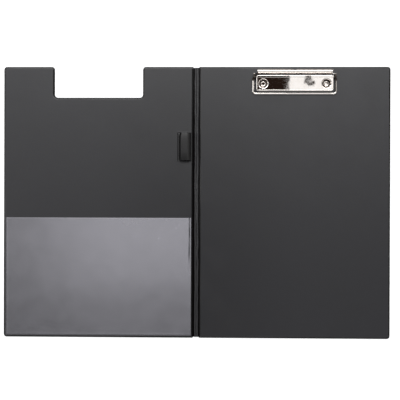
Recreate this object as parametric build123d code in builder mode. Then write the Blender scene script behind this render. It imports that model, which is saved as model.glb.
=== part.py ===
from build123d import *
from math import cos, pi, radians, sin, sqrt
import os

# An A4 fold-over clipboard, lying open on its back, in millimetres.
# The origin is on the table under the middle of the spine.
# +X points to the board with the clip, +Y to the clip's end and +Z up.
# The cover closes by turning about two fold lines along Y, one at each side of the spine.

# Panels: greyboard between two vinyl skins that are welded together all round
panel_height = 320.5
panel_far = 228.4  # from the middle of the spine to a panel's free edge
skin = 0.3
board_thickness = 1.8
rim_width = 1.6  # flat welded rim outside the greyboard
corner_radius = 3.5
spine_corner_radius = 1.2
edge_softness = 0.25  # rounding of the inner skin over the greyboard's edge

# Spine
fold_x = 3.15  # each fold line, from the middle of the spine
fold_gap = 0.35  # bare web left free at each side of a fold line
shoulder_run = 1.8  # width of the slope from the web up to the panel's face
web_shortfall = 0.9  # the web stops this far inside the panels' ends
ridge_spacing = 2.5
ridge_width = 2.2
ridge_height = 0.5

# Notch in the cover, which leaves room for the clip when the cover is shut
notch_side_gap = 2.75
notch_front_gap = 3.6
notch_tab_radius = 3.6
notch_corner_radius = 3.8

# Clear pocket on the cover
pocket_sheet_thickness = 0.25
pocket_height = 139.6
pocket_side_margin = 2.2
pocket_spine_x = 6.3

# Pen loop on the cover
loop_near_x = 6.2
loop_far_x = 20.1
loop_width = 32.5
loop_center_y = 65.0
loop_rise = 5.8
loop_flat_x = 12.0
loop_seam_height = 1.2
loop_wall = 0.6

# Clip: distances back from the board's end are measured to its top edge
plate_width = 90.5
plate_back = 10.35
plate_front = 29.4
plate_corner = 3.0
sheet = 0.75
plate_underside = 5.0
plate_lip = 0.6
bead_rise = 0.5
bead_width = 1.7
bead_back_width = 2.8
bead_outer_round = 0.8
bead_inner_round = 0.45
cup_inset = 8.25  # from the plate's end to the middle of a cup
cup_back = 20.2
cup_mouth_radius = 5.1
cup_floor_radius = 4.4
cup_softness = 1.2

# Clip pin and the flanges that carry it
pin_radius = 1.1
pin_overhang = 0.8  # how far the pin stands out of the jaw's cheeks
pin_back = 12.35
pin_rise = 2.6
pin_fit = 0.02  # radial clearance in the plate's flanges
pin_running_fit = 0.05  # radial clearance in the jaw's cheeks
flange_radius = 2.0

# Clip jaw: a frame of two arms and a front bar, and a lever behind the pin
arm_gap = 2.15  # between an arm and the plate's end
bar_gap = 1.0  # between the front bar and the plate
bar_width = 2.3
bar_rise = 2.4
bar_round = 1.1
bar_corner = 2.4
jaw_lift = 0.08  # the shut bar's clearance over the board
arm_eye_radius = 2.5
arm_start_gap = 0.3  # the round arms start this far in front of the pin
cheek_reach = 4.5  # the flat cheeks round the pin run this far forward along the arms
lever_sheet = 0.8
lever_wall_back = 3.7  # the lever's upright root, behind the pin
lever_wall_low = -0.4
lever_wall_high = 2.1
lever_top_back = 6.0
lever_top_rise = 5.7
lever_lip_back = 8.5
lever_lip_rise = 4.9
lever_bend = 1.2
lever_inset_low = 6.6  # the lever's sides, in from the arms' outer sides
lever_inset_high = 5.5
hang_notch_radius = 3.5
hang_notch_depth = 1.3

# Torsion springs on the pin
spring_spacing = 40.0
spring_wire = 0.9
spring_mean_radius = 1.75
spring_pitch = 1.35
spring_turns = 6
spring_exit_angle = 12.0
spring_front_leg = 5.0
spring_back_leg = 5.2
spring_slot_width = 2.2
spring_slot_low = 0.25
spring_slot_high = 1.65

# Rivets
rivet_radius = 2.0
rivet_bore_radius = 1.7
rivet_clearance = 0.05
rivet_head_radius = 4.0
rivet_head_thickness = 0.7
rivet_roll_radius = 3.25
rivet_roll_rise = 0.7
rivet_floor = 1.2

# Places worked out from the sizes above
panel_top = 2 * skin + board_thickness
half_height = panel_height / 2
web_end = fold_x - fold_gap
panel_near = fold_x + fold_gap
block_near = panel_near + shoulder_run
board_inset = rim_width + skin
board_near = block_near + skin
pin_y = half_height - pin_back
pin_z = panel_top + pin_rise
plate_top = panel_top + plate_underside + sheet
cup_rise = plate_underside + sheet
cup_spacing = plate_width - 2 * cup_inset
jaw_width = plate_width + 2 * (arm_gap + bar_width)
bar_front = plate_front + bar_gap + bar_width
lever_width_low = jaw_width - 2 * lever_inset_low
lever_width_high = jaw_width - 2 * lever_inset_high
notch_width = jaw_width + 2 * notch_side_gap
notch_depth = bar_front + notch_front_gap
cheek_x = jaw_width / 2 - bar_width + lever_sheet
pin_length = 2 * (cheek_x + pin_overhang)
plate_y = half_height - (plate_back + plate_front) / 2
cup_y = half_height - cup_back
clip_x = (fold_x + panel_far) / 2
coil_length = spring_pitch * (spring_turns + spring_exit_angle / 360)
spring_starts = [clip_x + side * spring_spacing / 2 - coil_length / 2 for side in (-1, 1)]
leg_drift = spring_pitch / (2 * pi * spring_mean_radius)
spring_slot_places = [start + coil_length + leg_drift * lever_wall_back for start in spring_starts]


def draw_panel(side, near, inset, rounding):
    """Draws one panel's outline, inset from its free edges, on the right (1) or the left (-1).
    The left one has the notch for the clip."""
    far = panel_far - inset
    half = half_height - inset
    with Locations((side * (near + far) / 2, 0)):
        Rectangle(far - near, 2 * half)
    if side < 0:
        depth = notch_depth + inset
        with Locations((-clip_x, half_height - depth / 2)):
            Rectangle(notch_width + 2 * inset, depth, mode=Mode.SUBTRACT)
    notch_floor = half_height - notch_depth - inset
    inner = vertices().filter_by(lambda v: abs(v.Y - notch_floor) < 0.01)
    tabs = vertices().filter_by(lambda v: v.Y > half - 0.01 and near + 0.01 < abs(v.X) < far - 0.01)
    free = vertices().filter_by(lambda v: abs(v.X) > far - 0.01)
    spine = vertices().filter_by(lambda v: abs(v.X) < near + 0.01)
    fillet(free, max(corner_radius - inset, 0.5))
    fillet(spine, rounding)
    if side < 0:
        fillet(tabs, max(notch_tab_radius - inset, 0.5))
        fillet(inner, notch_corner_radius + inset)


def rivet_spots():
    """The two places of the rivets, in the plane of the table."""
    return Locations((clip_x - cup_spacing / 2, cup_y), (clip_x + cup_spacing / 2, cup_y))


def coil_point(start_x, angle):
    """A point of a spring's wire axis and its heading there. The angle starts at the top of the
    coil and turns back and down: y = r sin(angle), z = r cos(angle), x grows with the angle."""
    rate = spring_pitch / (2 * pi)
    point = Vector(
        start_x + rate * angle,
        pin_y + spring_mean_radius * sin(angle),
        pin_z + spring_mean_radius * cos(angle),
    )
    heading = Vector(rate, spring_mean_radius * cos(angle), -spring_mean_radius * sin(angle))
    return point, heading.normalized()


def draw_biarc(first, first_heading, last, last_heading):
    """Draws two arcs that meet smoothly, from one point and heading to another. Both arcs have
    tangents of one length d, where |chord - d (h1 + h2)| = 2 d."""
    chord = last - first
    both = first_heading + last_heading
    spread = 2 * (1 - first_heading.dot(last_heading))
    along = chord.dot(both)
    reach = (sqrt(along * along + spread * chord.dot(chord)) - along) / spread
    joint = (first + first_heading * reach + last - last_heading * reach) / 2
    TangentArc(first, joint, tangent=first_heading)
    TangentArc(joint, last, tangent=last - last_heading * reach - joint)


def coil_gap():
    """The least gap between a spring's neighbouring turns, measured on points of its axis."""
    points = [coil_point(0, radians(10 * step))[0] for step in range(36 * spring_turns)]
    gaps = []
    for i, point in enumerate(points):
        gaps.extend((point - other).length for other in points[i + 18 :])
    return min(gaps) - spring_wire


def make_outer_skin(side):
    """The sheet on the back of a panel."""
    with BuildPart() as outer_skin:
        with BuildSketch(Plane.XY):
            draw_panel(side, panel_near, 0, spine_corner_radius)
        extrude(amount=skin)
        if side > 0:
            with BuildSketch(Plane.XY):
                with rivet_spots():
                    Circle(rivet_head_radius + rivet_clearance)
            extrude(amount=skin, mode=Mode.SUBTRACT)
    return outer_skin.part


def make_board(side):
    """The greyboard between the skins."""
    with BuildPart() as board:
        with BuildSketch(Plane.XY.offset(skin)):
            draw_panel(side, board_near, board_inset, 0.5)
        extrude(amount=board_thickness)
        if side > 0:
            with BuildSketch(Plane.XY.offset(skin)):
                with rivet_spots():
                    Circle(rivet_radius + rivet_clearance)
            extrude(amount=board_thickness, mode=Mode.SUBTRACT)
            with BuildSketch(Plane.XY.offset(skin)):
                with rivet_spots():
                    Circle(rivet_head_radius + rivet_clearance)
            extrude(amount=rivet_head_thickness - skin, mode=Mode.SUBTRACT)
    return board.part


def make_inner_skin(side):
    """The sheet over a panel's inner face: a flat rim, a raised field over the greyboard, and a
    slope down to the spine."""
    with BuildPart() as inner_skin:
        with BuildSketch(Plane.XY.offset(skin)):
            draw_panel(side, block_near, rim_width, 0.5)
        extrude(amount=board_thickness + skin)
        fillet(inner_skin.faces().sort_by(Axis.Z)[-1].edges(), edge_softness)
        with BuildSketch(Plane.XY.offset(skin)):
            draw_panel(side, panel_near, 0, spine_corner_radius)
        extrude(amount=skin)
        with BuildSketch(Plane.XZ.offset(-half_height + rim_width)):
            with BuildLine():
                Polyline(
                    (side * panel_near, skin),
                    (side * panel_near, 2 * skin),
                    (side * block_near, panel_top),
                    (side * (block_near + skin), panel_top),
                    (side * (block_near + skin), skin),
                    close=True,
                )
            make_face()
        extrude(amount=panel_height - 2 * rim_width)
        with BuildSketch(Plane.XY.offset(skin)):
            draw_panel(side, board_near, board_inset, 0.5)
        extrude(amount=board_thickness, mode=Mode.SUBTRACT)
        if side > 0:
            with BuildSketch(Plane.XY.offset(skin)):
                with rivet_spots():
                    Circle(rivet_radius + rivet_clearance)
            extrude(amount=panel_top, mode=Mode.SUBTRACT)
    return inner_skin.part


os.makedirs("parts", exist_ok=True)

# The six layers of the two panels
for panel, side in (("back", 1), ("cover", -1)):
    for layer, make in (
        ("outer_skin", make_outer_skin),
        ("board", make_board),
        ("inner_skin", make_inner_skin),
    ):
        solid = make(side)
        solid.label = f"{panel}_{layer}"
        export_step(solid, f"parts/{solid.label}.step")

# Spine, outer sheet
with BuildPart() as spine_outer_web:
    with BuildSketch(Plane.XY):
        Rectangle(2 * web_end, panel_height - 2 * web_shortfall)
    extrude(amount=skin)
spine_outer_web.part.label = "spine_outer_web"
export_step(spine_outer_web.part, "parts/spine_outer_web.step")

# Spine, inner sheet, with a ridge at each side of the middle weld line
with BuildPart() as spine_inner_web:
    with BuildSketch(Plane.XZ.offset(-half_height + web_shortfall)):
        with BuildLine():
            Polyline(
                (-ridge_spacing / 2 - ridge_width / 2, 2 * skin),
                (-web_end, 2 * skin),
                (-web_end, skin),
                (web_end, skin),
                (web_end, 2 * skin),
                (ridge_spacing / 2 + ridge_width / 2, 2 * skin),
            )
            for ridge_x in (-ridge_spacing / 2, ridge_spacing / 2):
                ThreePointArc(
                    (ridge_x - ridge_width / 2, 2 * skin),
                    (ridge_x, 2 * skin + ridge_height),
                    (ridge_x + ridge_width / 2, 2 * skin),
                )
            Line(
                (-ridge_spacing / 2 + ridge_width / 2, 2 * skin),
                (ridge_spacing / 2 - ridge_width / 2, 2 * skin),
            )
        make_face()
    extrude(amount=panel_height - 2 * web_shortfall)
spine_inner_web.part.label = "spine_inner_web"
export_step(spine_inner_web.part, "parts/spine_inner_web.step")

# Clear pocket, welded to the cover at its left, bottom and spine sides
with BuildPart() as pocket_sheet:
    with BuildSketch(Plane.XY.offset(panel_top)):
        pocket_left = -panel_far + pocket_side_margin
        pocket_low = -half_height + pocket_side_margin
        with Locations(((pocket_left - pocket_spine_x) / 2, pocket_low + pocket_height / 2)):
            Rectangle(-pocket_spine_x - pocket_left, pocket_height)
    extrude(amount=pocket_sheet_thickness)
pocket_sheet.part.label = "pocket_sheet"
export_step(pocket_sheet.part, "parts/pocket_sheet.step")

# Pen loop: a strip folded into a loop, its two ends welded beside the spine
with BuildPart() as pen_loop:
    with BuildSketch(Plane.XZ.offset(-loop_center_y - loop_width / 2)):
        with BuildLine():
            loop_top = panel_top + loop_rise
            fold_center_x = -loop_far_x + loop_rise / 2
            Line((-loop_near_x, panel_top), (fold_center_x, panel_top))
            ThreePointArc(
                (fold_center_x, panel_top),
                (-loop_far_x, panel_top + loop_rise / 2),
                (fold_center_x, loop_top),
            )
            Line((fold_center_x, loop_top), (-loop_flat_x, loop_top))
            seam = (-loop_near_x, panel_top + loop_seam_height)
            TangentArc((-loop_flat_x, loop_top), seam, tangent=(1, 0))
            Line(seam, (-loop_near_x, panel_top))
        make_face()
        offset(amount=-loop_wall, mode=Mode.SUBTRACT)
    extrude(amount=loop_width)
pen_loop.part.label = "pen_loop"
export_step(pen_loop.part, "parts/pen_loop.step")

# Clip plate: a bordered tray, two rivet cups down to the board, and two flanges for the pin
with BuildPart() as clip_plate:
    with BuildSketch(Plane.XY.offset(plate_top - sheet - plate_lip)):
        with Locations((clip_x, plate_y)):
            RectangleRounded(plate_width, plate_front - plate_back, plate_corner)
    extrude(amount=plate_lip + sheet + bead_rise)
    fillet(clip_plate.faces().sort_by(Axis.Z)[-1].edges(), bead_outer_round)
    with BuildSketch(Plane.XY.offset(plate_top)):
        with Locations((clip_x, plate_y - (bead_back_width - bead_width) / 2)):
            RectangleRounded(
                plate_width - 2 * bead_width,
                plate_front - plate_back - bead_width - bead_back_width,
                plate_corner - bead_width,
            )
    extrude(amount=bead_rise, mode=Mode.SUBTRACT)
    fillet(clip_plate.faces().sort_by(Axis.Z)[-1].inner_wires().edges(), bead_inner_round)
    with BuildSketch(Plane.XY.offset(plate_top - sheet)):
        with Locations((clip_x, plate_y)):
            RectangleRounded(
                plate_width - 2 * sheet,
                plate_front - plate_back - 2 * sheet,
                plate_corner - sheet,
            )
        with Locations((clip_x, half_height - plate_back)):
            Rectangle(plate_width - 2 * plate_corner, 4 * sheet)
    extrude(amount=-plate_lip, mode=Mode.SUBTRACT)
    with rivet_spots():
        with Locations((0, 0, panel_top)):
            Cone(
                cup_floor_radius + sheet,
                cup_mouth_radius + sheet,
                cup_rise,
                align=(Align.CENTER, Align.CENTER, Align.MIN),
            )
    with rivet_spots():
        with Locations((0, 0, panel_top + sheet)):
            Cone(
                cup_floor_radius,
                cup_mouth_radius,
                cup_rise - sheet,
                align=(Align.CENTER, Align.CENTER, Align.MIN),
                mode=Mode.SUBTRACT,
            )
            Cylinder(rivet_radius + rivet_clearance, 3 * sheet, mode=Mode.SUBTRACT)
    mouths = clip_plate.edges().filter_by(GeomType.CIRCLE)
    mouths = mouths.filter_by(lambda e: abs(e.radius - cup_mouth_radius) < 0.01)
    fillet(mouths, cup_softness)
    for end in (-1, 1):
        outside = clip_x + end * plate_width / 2
        with BuildSketch(Plane.YZ.offset(min(outside, outside - end * sheet))):
            with Locations((pin_y, pin_z)):
                Circle(flange_radius)
                with Locations((0, (plate_underside - pin_rise) / 2)):
                    Rectangle(2 * flange_radius, plate_underside - pin_rise)
                Circle(pin_radius + pin_fit, mode=Mode.SUBTRACT)
        extrude(amount=sheet)
clip_plate.part.label = "clip_plate"
export_step(clip_plate.part, "parts/clip_plate.step")

# Hinge pin, through the plate's flanges and the jaw's arms
with BuildPart() as clip_pin:
    with BuildSketch(Plane.YZ.offset(clip_x - pin_length / 2)):
        with Locations((pin_y, pin_z)):
            Circle(pin_radius)
    extrude(amount=pin_length)
    chamfer(clip_pin.edges(), 0.15)
clip_pin.part.label = "clip_pin"
export_step(clip_pin.part, "parts/clip_pin.step")

# Clip jaw: one formed sheet, with its edge rolled round into the arms and the front bar
with BuildPart() as clip_jaw:
    bar_z = panel_top + jaw_lift + bar_rise / 2
    arm_x = jaw_width / 2 - bar_width / 2
    bar_y = half_height - bar_front + bar_width / 2
    arm_y = pin_y - pin_radius - arm_start_gap
    with BuildLine(Plane.XY.offset(bar_z)):
        FilletPolyline(
            (clip_x - arm_x, arm_y),
            (clip_x - arm_x, bar_y),
            (clip_x + arm_x, bar_y),
            (clip_x + arm_x, arm_y),
            radius=bar_corner,
        )
    with BuildSketch(Plane(origin=(clip_x - arm_x, arm_y, bar_z), x_dir=(1, 0, 0), z_dir=(0, -1, 0))):
        RectangleRounded(bar_width, bar_rise, bar_round)
    sweep()
    for start in (clip_x - cheek_x, clip_x + cheek_x - lever_sheet):
        with BuildSketch(Plane.YZ.offset(start)):
            with Locations((pin_y, pin_z)):
                Circle(arm_eye_radius)
                with Locations((lever_wall_back, (lever_wall_low + lever_wall_high) / 2)):
                    Rectangle(lever_sheet, lever_wall_high - lever_wall_low)
            make_hull()
            with Locations((pin_y - cheek_reach / 2, bar_z)):
                Rectangle(cheek_reach, bar_rise)
        extrude(amount=lever_sheet)
    with BuildSketch(Plane.YZ.offset(clip_x - cheek_x)):
        with Locations((pin_y + lever_wall_back, pin_z + (lever_wall_low + lever_wall_high) / 2)):
            Rectangle(lever_sheet, lever_wall_high - lever_wall_low)
    extrude(amount=2 * cheek_x)
    with BuildSketch(Plane.YZ.offset(clip_x - lever_width_high / 2)):
        with BuildLine():
            FilletPolyline(
                (pin_y + lever_wall_back, pin_z + lever_wall_low),
                (pin_y + lever_wall_back, pin_z + lever_wall_high),
                (pin_y + lever_top_back, pin_z + lever_top_rise),
                (pin_y + lever_lip_back, pin_z + lever_lip_rise),
                radius=lever_bend,
            )
        trace(line_width=lever_sheet)
    extrude(amount=lever_width_high)
    with BuildSketch(Plane.XZ.offset(-half_height)):
        for end in (-1, 1):
            with BuildLine():
                low_z = pin_z + lever_wall_high + lever_bend
                high_z = pin_z + lever_top_rise + lever_bend
                Polyline(
                    (clip_x + end * lever_width_low / 2, low_z),
                    (clip_x + end * lever_width_high / 2, high_z),
                    (clip_x + end * jaw_width / 2, high_z),
                    (clip_x + end * jaw_width / 2, low_z),
                    close=True,
                )
            make_face()
    extrude(amount=plate_back + pin_back, mode=Mode.SUBTRACT)
    with BuildSketch(Plane.XY.offset(pin_z + lever_wall_high + lever_bend)):
        with Locations((clip_x, pin_y + lever_lip_back + hang_notch_radius - hang_notch_depth)):
            Circle(hang_notch_radius)
    extrude(amount=lever_top_rise, mode=Mode.SUBTRACT)
    with BuildSketch(Plane.XZ.offset(-pin_y)):
        for slot_x in spring_slot_places:
            with Locations((slot_x, pin_z + (spring_slot_low + spring_slot_high) / 2)):
                Rectangle(spring_slot_width, spring_slot_high - spring_slot_low)
    extrude(amount=-lever_wall_back - lever_sheet, mode=Mode.SUBTRACT)
    with BuildSketch(Plane.YZ.offset(clip_x - jaw_width / 2)):
        with Locations((pin_y, pin_z)):
            Circle(pin_radius + pin_running_fit)
    extrude(amount=jaw_width, mode=Mode.SUBTRACT)
clip_jaw.part.label = "clip_jaw"
export_step(clip_jaw.part, "parts/clip_jaw.step")

# Torsion springs: a front leg under the plate, the coil on the pin, and a back leg through the
# lever's slot
for name, start_x in zip(("left_spring", "right_spring"), spring_starts):
    with BuildPart() as spring:
        with BuildLine() as wire:
            turn_ends = [radians(90 * quarter) for quarter in range(4 * spring_turns + 1)]
            turn_ends.append(turn_ends[-1] + radians(spring_exit_angle))
            first, heading = coil_point(start_x, 0)
            Line(first - heading * spring_front_leg, first)
            for begin, end in zip(turn_ends, turn_ends[1:]):
                draw_biarc(*coil_point(start_x, begin), *coil_point(start_x, end))
            last, heading = coil_point(start_x, turn_ends[-1])
            Line(last, last + heading * spring_back_leg)
        with BuildSketch(Plane(origin=wire.line @ 0, z_dir=wire.line % 0)):
            Circle(spring_wire / 2)
        sweep()
    spring.part.label = name
    export_step(spring.part, f"parts/{name}.step")
print("least gap of a spring to itself:", round(coil_gap(), 2), "mm")

# Tubular rivets: head flush in the back, hollow shank, and a rolled end in the plate's cups
with BuildPart() as clip_rivets:
    roll_z = panel_top + sheet
    for rivet_x in (clip_x - cup_spacing / 2, clip_x + cup_spacing / 2):
        with BuildSketch(Plane.XZ.offset(-cup_y)):
            with BuildLine():
                Polyline(
                    (rivet_x, 0),
                    (rivet_x + rivet_head_radius, 0),
                    (rivet_x + rivet_head_radius, rivet_head_thickness),
                    (rivet_x + rivet_radius, rivet_head_thickness),
                    (rivet_x + rivet_radius, roll_z),
                    (rivet_x + rivet_roll_radius, roll_z),
                )
                ThreePointArc(
                    (rivet_x + rivet_roll_radius, roll_z),
                    (rivet_x + (rivet_roll_radius + rivet_bore_radius) / 2, roll_z + rivet_roll_rise),
                    (rivet_x + rivet_bore_radius, roll_z),
                )
                Polyline(
                    (rivet_x + rivet_bore_radius, roll_z),
                    (rivet_x + rivet_bore_radius, rivet_floor),
                    (rivet_x, rivet_floor),
                    (rivet_x, 0),
                )
            make_face()
        revolve(axis=Axis((rivet_x, cup_y, 0), (0, 0, 1)))
clip_rivets.part.label = "clip_rivets"
export_step(clip_rivets.part, "parts/clip_rivets.step")
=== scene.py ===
import bmesh
import bpy
import numpy as np
from mathutils import Euler, Matrix, Vector


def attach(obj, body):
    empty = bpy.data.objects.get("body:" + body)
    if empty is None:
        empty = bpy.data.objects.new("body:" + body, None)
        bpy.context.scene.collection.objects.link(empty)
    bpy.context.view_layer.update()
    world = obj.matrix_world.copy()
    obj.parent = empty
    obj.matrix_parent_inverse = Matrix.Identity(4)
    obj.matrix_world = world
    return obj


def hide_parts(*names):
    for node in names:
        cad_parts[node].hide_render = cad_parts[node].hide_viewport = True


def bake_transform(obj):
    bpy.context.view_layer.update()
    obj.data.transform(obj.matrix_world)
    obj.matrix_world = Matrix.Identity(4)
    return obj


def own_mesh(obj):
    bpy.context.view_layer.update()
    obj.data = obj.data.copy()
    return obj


# An A4 fold-over clipboard, lying open: a board with a sprung clip, a welded spine, and a notched
# cover with a clear pocket and a pen loop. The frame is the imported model's: +X is the board with
# the clip, +Y the clip's end and +Z up. Shapes are worked out in millimetres and put into the
# meshes in metres. The sizes repeat those of the CAD source, except the far edges of the panels,
# the spine's ridges, the pocket's right edge and the pen loop, which follow the photograph more
# closely.

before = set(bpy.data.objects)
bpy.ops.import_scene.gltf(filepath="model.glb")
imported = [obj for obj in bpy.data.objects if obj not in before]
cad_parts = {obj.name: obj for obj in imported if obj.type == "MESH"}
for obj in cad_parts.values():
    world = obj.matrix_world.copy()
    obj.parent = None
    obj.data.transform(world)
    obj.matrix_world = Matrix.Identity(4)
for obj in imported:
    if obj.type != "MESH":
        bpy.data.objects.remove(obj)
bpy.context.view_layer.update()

MM = 0.001
SAME_PLACE = 0.01  # places nearer to each other than this, in millimetres, count as one
MERGE_WITHIN = 2e-6  # metres
FLAT_WITHIN = 1e-6

# Panels
PANEL_FAR = 228.8
HALF_HEIGHT = 160.5
PANEL_NEAR = 3.5
SKIN = 0.3
PANEL_TOP = 2.4
CORNER = 3.5
SPINE_CORNER = 1.2
CAP_INSET = 4.0  # where the flat field of a panel starts, in from its edges
CAP_SPINE_INSET = 2.9
LEAST_RADIUS = 0.4
GRID_STEP = 4.0
GRID_CLEAR = 8.0
WELD_WIDTH = 1.9  # of the pressed rim round a panel
WELD_FADE = 0.2
RELIEF = 0.03  # height of the inner sheet's faint waves
RELIEF_LIMIT = 1.5  # in parts of that height

# Notch for the clip
CLIP_X = 115.775
NOTCH_HALF = 52.45
NOTCH_FLOOR = 123.95
NOTCH_TAB = 3.6
NOTCH_CORNER = 3.8

# Rivets
RIVET_X = (CLIP_X - 37.0, CLIP_X + 37.0)
RIVET_Y = 140.05
RIVET_CELL = 6.0
INNER_HOLE = 2.05
OUTER_HOLE = 4.03
HOLE_SIDES = 32
CUP_FLOOR = 4.4

# Clip pin
PIN_Y = 147.9
PIN_Z = 5.0
EYE_RADIUS = 4.5
EYE_APART = 48.0

# Torsion springs on the pin
SPRING_X = (CLIP_X - 20.0, CLIP_X + 20.0)
SPRING_WIRE = 0.9
SPRING_RADIUS = 1.75
SPRING_PITCH = 1.35
SPRING_TURN = 360 * 6 + 12.0  # degrees, from the front leg to the back one
SPRING_LEGS = (5.0, 5.2)
SPRING_SIDES = 12
SPRING_LENGTH = SPRING_PITCH * SPRING_TURN / 360

# Spine
WEB_HALF_HEIGHT = 159.35
WEB_END = 3.6  # just inside a panel
RIDGES = ((-0.68, 1.05, 0.5), (1.72, 1.1, 0.46))  # place across x, half width, height

# Pocket
POCKET_LEFT = -226.2
POCKET_RIGHT = -5.8
POCKET_LOW = -158.05
POCKET_TOP = -18.45
POCKET_FILM = 0.25
POCKET_WELD = 0.9
POCKET_RIM = 1.9  # from the edges to the low rim beside the weld
POCKET_RIM_HALF = 0.5
CREASE_X = -7.75
CREASE_HALF = 0.8
CREASE_RIDGES = ((-6.45, 0.42, 0.35), (-9.3, 0.8, 0.2))  # place across x, half width, height

# Pen loop
LOOP_NEAR = -6.2
LOOP_FAR = -20.7
LOOP_FLAT = -12.0
LOOP_RISE = 5.8
LOOP_DROP = 5.957  # radius of the arc from the top down to the weld, outside the wall
LOOP_FOLD_RISE = 0.62  # of the upper layer over the lower one in the pressed fold
LOOP_SAG = (0.4, 0.9)  # of the top at the upper and at the lower cut end
LOOP_WALL = 0.6
LOOP_MIDDLE = 65.9
LOOP_HALF = 16.25
PATCH_FAR = -23.0
PATCH_HALF = 17.6


def linear(code):
    """An sRGB hex colour as the linear RGBA that a shader's socket takes."""
    parts = [int(code[i : i + 2], 16) / 255 for i in (1, 3, 5)]
    return [c / 12.92 if c <= 0.04045 else ((c + 0.055) / 1.055) ** 2.4 for c in parts] + [1.0]


def smooth(t):
    """The smooth step from 0 at t = 0 to 1 at t = 1: t squared times (3 - 2 t)."""
    t = np.clip(t, 0.0, 1.0)
    return t * t * (3 - 2 * t)


def waves(x, y, seed, shortest, longest, count=9):
    """A smooth random relief between about -1 and 1: a sum of sine waves over the plane, each
    with its own heading, length and phase from a seeded draw."""
    draw = np.random.default_rng(seed)
    heading = draw.uniform(0, 2 * np.pi, count)
    length = np.exp(draw.uniform(np.log(shortest), np.log(longest), count))
    phase = draw.uniform(0, 2 * np.pi, count)
    total = np.zeros(np.broadcast(x, y).shape)
    for a, l, p in zip(heading, length, phase):
        total += np.sin(2 * np.pi * (x * np.cos(a) + y * np.sin(a)) / l + p)
    return total / np.sqrt(count)


# Meshes


def add_piece(name, points, faces, material, sharp_from=35.0, pressed=None):
    """A mesh object at the origin, from points in millimetres and faces as arrays of point
    numbers. Points in one place are merged, the faces that this flattens are dropped, and all
    faces turn outwards. Pressed is kept with the points as an attribute: 1 in a weld, and 0 where
    the sheet is free. The black vinyl paints pressed places near black, which is partly painted shade."""
    mesh = bpy.data.meshes.new(name)
    rows = [row for block in faces for row in np.asarray(block).tolist()]
    mesh.from_pydata(np.asarray(points, float) * MM, [], rows)
    if pressed is not None:
        kept = mesh.attributes.new("pressed", "FLOAT", "POINT")
        kept.data.foreach_set("value", np.asarray(pressed, np.float32))
    tidy = bmesh.new()
    tidy.from_mesh(mesh)
    bmesh.ops.remove_doubles(tidy, verts=tidy.verts, dist=MERGE_WITHIN)
    bmesh.ops.dissolve_degenerate(tidy, edges=tidy.edges, dist=FLAT_WITHIN)
    bmesh.ops.recalc_face_normals(tidy, faces=tidy.faces)
    tidy.to_mesh(mesh)
    tidy.free()
    mesh.materials.append(material)
    mesh.shade_smooth()
    mesh.set_sharp_from_angle(angle=np.radians(sharp_from))
    piece = bpy.data.objects.new(name, mesh)
    bpy.context.scene.collection.objects.link(piece)
    return piece


def quads(rows, columns, start=0, loop=False):
    """The faces of a grid of points numbered row by row from start; loop joins the last column
    to the first."""
    i = np.arange(rows - 1)[:, None] * columns + start
    j = np.arange(columns if loop else columns - 1)[None, :]
    k = (j + 1) % columns
    return np.stack([i + j, i + k, i + columns + k, i + columns + j], -1).reshape(-1, 4)


def shell(upper, lower):
    """Points and faces of a closed shell between two grids of points of one shape: the two grids
    and a strip round their common border."""
    rows, columns = upper.shape[:2]
    count = rows * columns
    number = np.arange(count).reshape(rows, columns)
    border = np.concatenate([number[0, :-1], number[:-1, -1], number[-1, :0:-1], number[:0:-1, 0]])
    after = np.roll(border, -1)
    strip = np.stack([border, after, after + count, border + count], -1)
    points = np.concatenate([upper.reshape(-1, 3), lower.reshape(-1, 3)])
    faces = [quads(rows, columns), quads(rows, columns, count)[:, ::-1], strip[:, ::-1]]
    return points, faces


def panel_corners(notched):
    """The corners of a panel drawn to the right of the spine, in order: x, y, the inward signs of
    its upright and level edges, its radius, and whether it is an inner corner of the notch."""
    left, right = CLIP_X - NOTCH_HALF, CLIP_X + NOTCH_HALF
    corners = [
        (PANEL_NEAR, -HALF_HEIGHT, 1, 1, SPINE_CORNER, False),
        (PANEL_FAR, -HALF_HEIGHT, -1, 1, CORNER, False),
        (PANEL_FAR, HALF_HEIGHT, -1, -1, CORNER, False),
    ]
    if notched:
        corners += [
            (right, HALF_HEIGHT, 1, -1, NOTCH_TAB, False),
            (right, NOTCH_FLOOR, 1, -1, NOTCH_CORNER, True),
            (left, NOTCH_FLOOR, -1, -1, NOTCH_CORNER, True),
            (left, HALF_HEIGHT, -1, -1, NOTCH_TAB, False),
        ]
    corners.append((PANEL_NEAR, HALF_HEIGHT, 1, -1, SPINE_CORNER, False))
    return corners


def grid_lines(stops):
    """Grid lines through the stops, and evenly between them where both are far enough away for
    the outline's arcs."""
    found = [stops[0]]
    for begin, end in zip(stops, stops[1:]):
        between = np.linspace(begin, end, round((end - begin) / GRID_STEP) + 1)
        clear = (between > begin + GRID_CLEAR) & (between < end - GRID_CLEAR)
        found += [*between[clear], end]
    return np.array(found)


def panel_lines(notched):
    """The x and y places of the flat field's grid lines. They pass the notch's corners, or leave
    one free cell round each rivet."""
    near, far = PANEL_NEAR + CAP_SPINE_INSET, PANEL_FAR - CAP_INSET
    low, high = CAP_INSET - HALF_HEIGHT, HALF_HEIGHT - CAP_INSET
    if notched:
        half = NOTCH_HALF + CAP_INSET
        x_stops = [near, CLIP_X - half, CLIP_X + half, far]
        y_stops = [low, NOTCH_FLOOR - CAP_INSET, high]
    else:
        sides = [x + end * RIVET_CELL for x in RIVET_X for end in (-1, 1)]
        x_stops = [near, *sides, far]
        y_stops = [low, RIVET_Y - RIVET_CELL, RIVET_Y + RIVET_CELL, high]
    return grid_lines(x_stops), grid_lines(y_stops)


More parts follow.
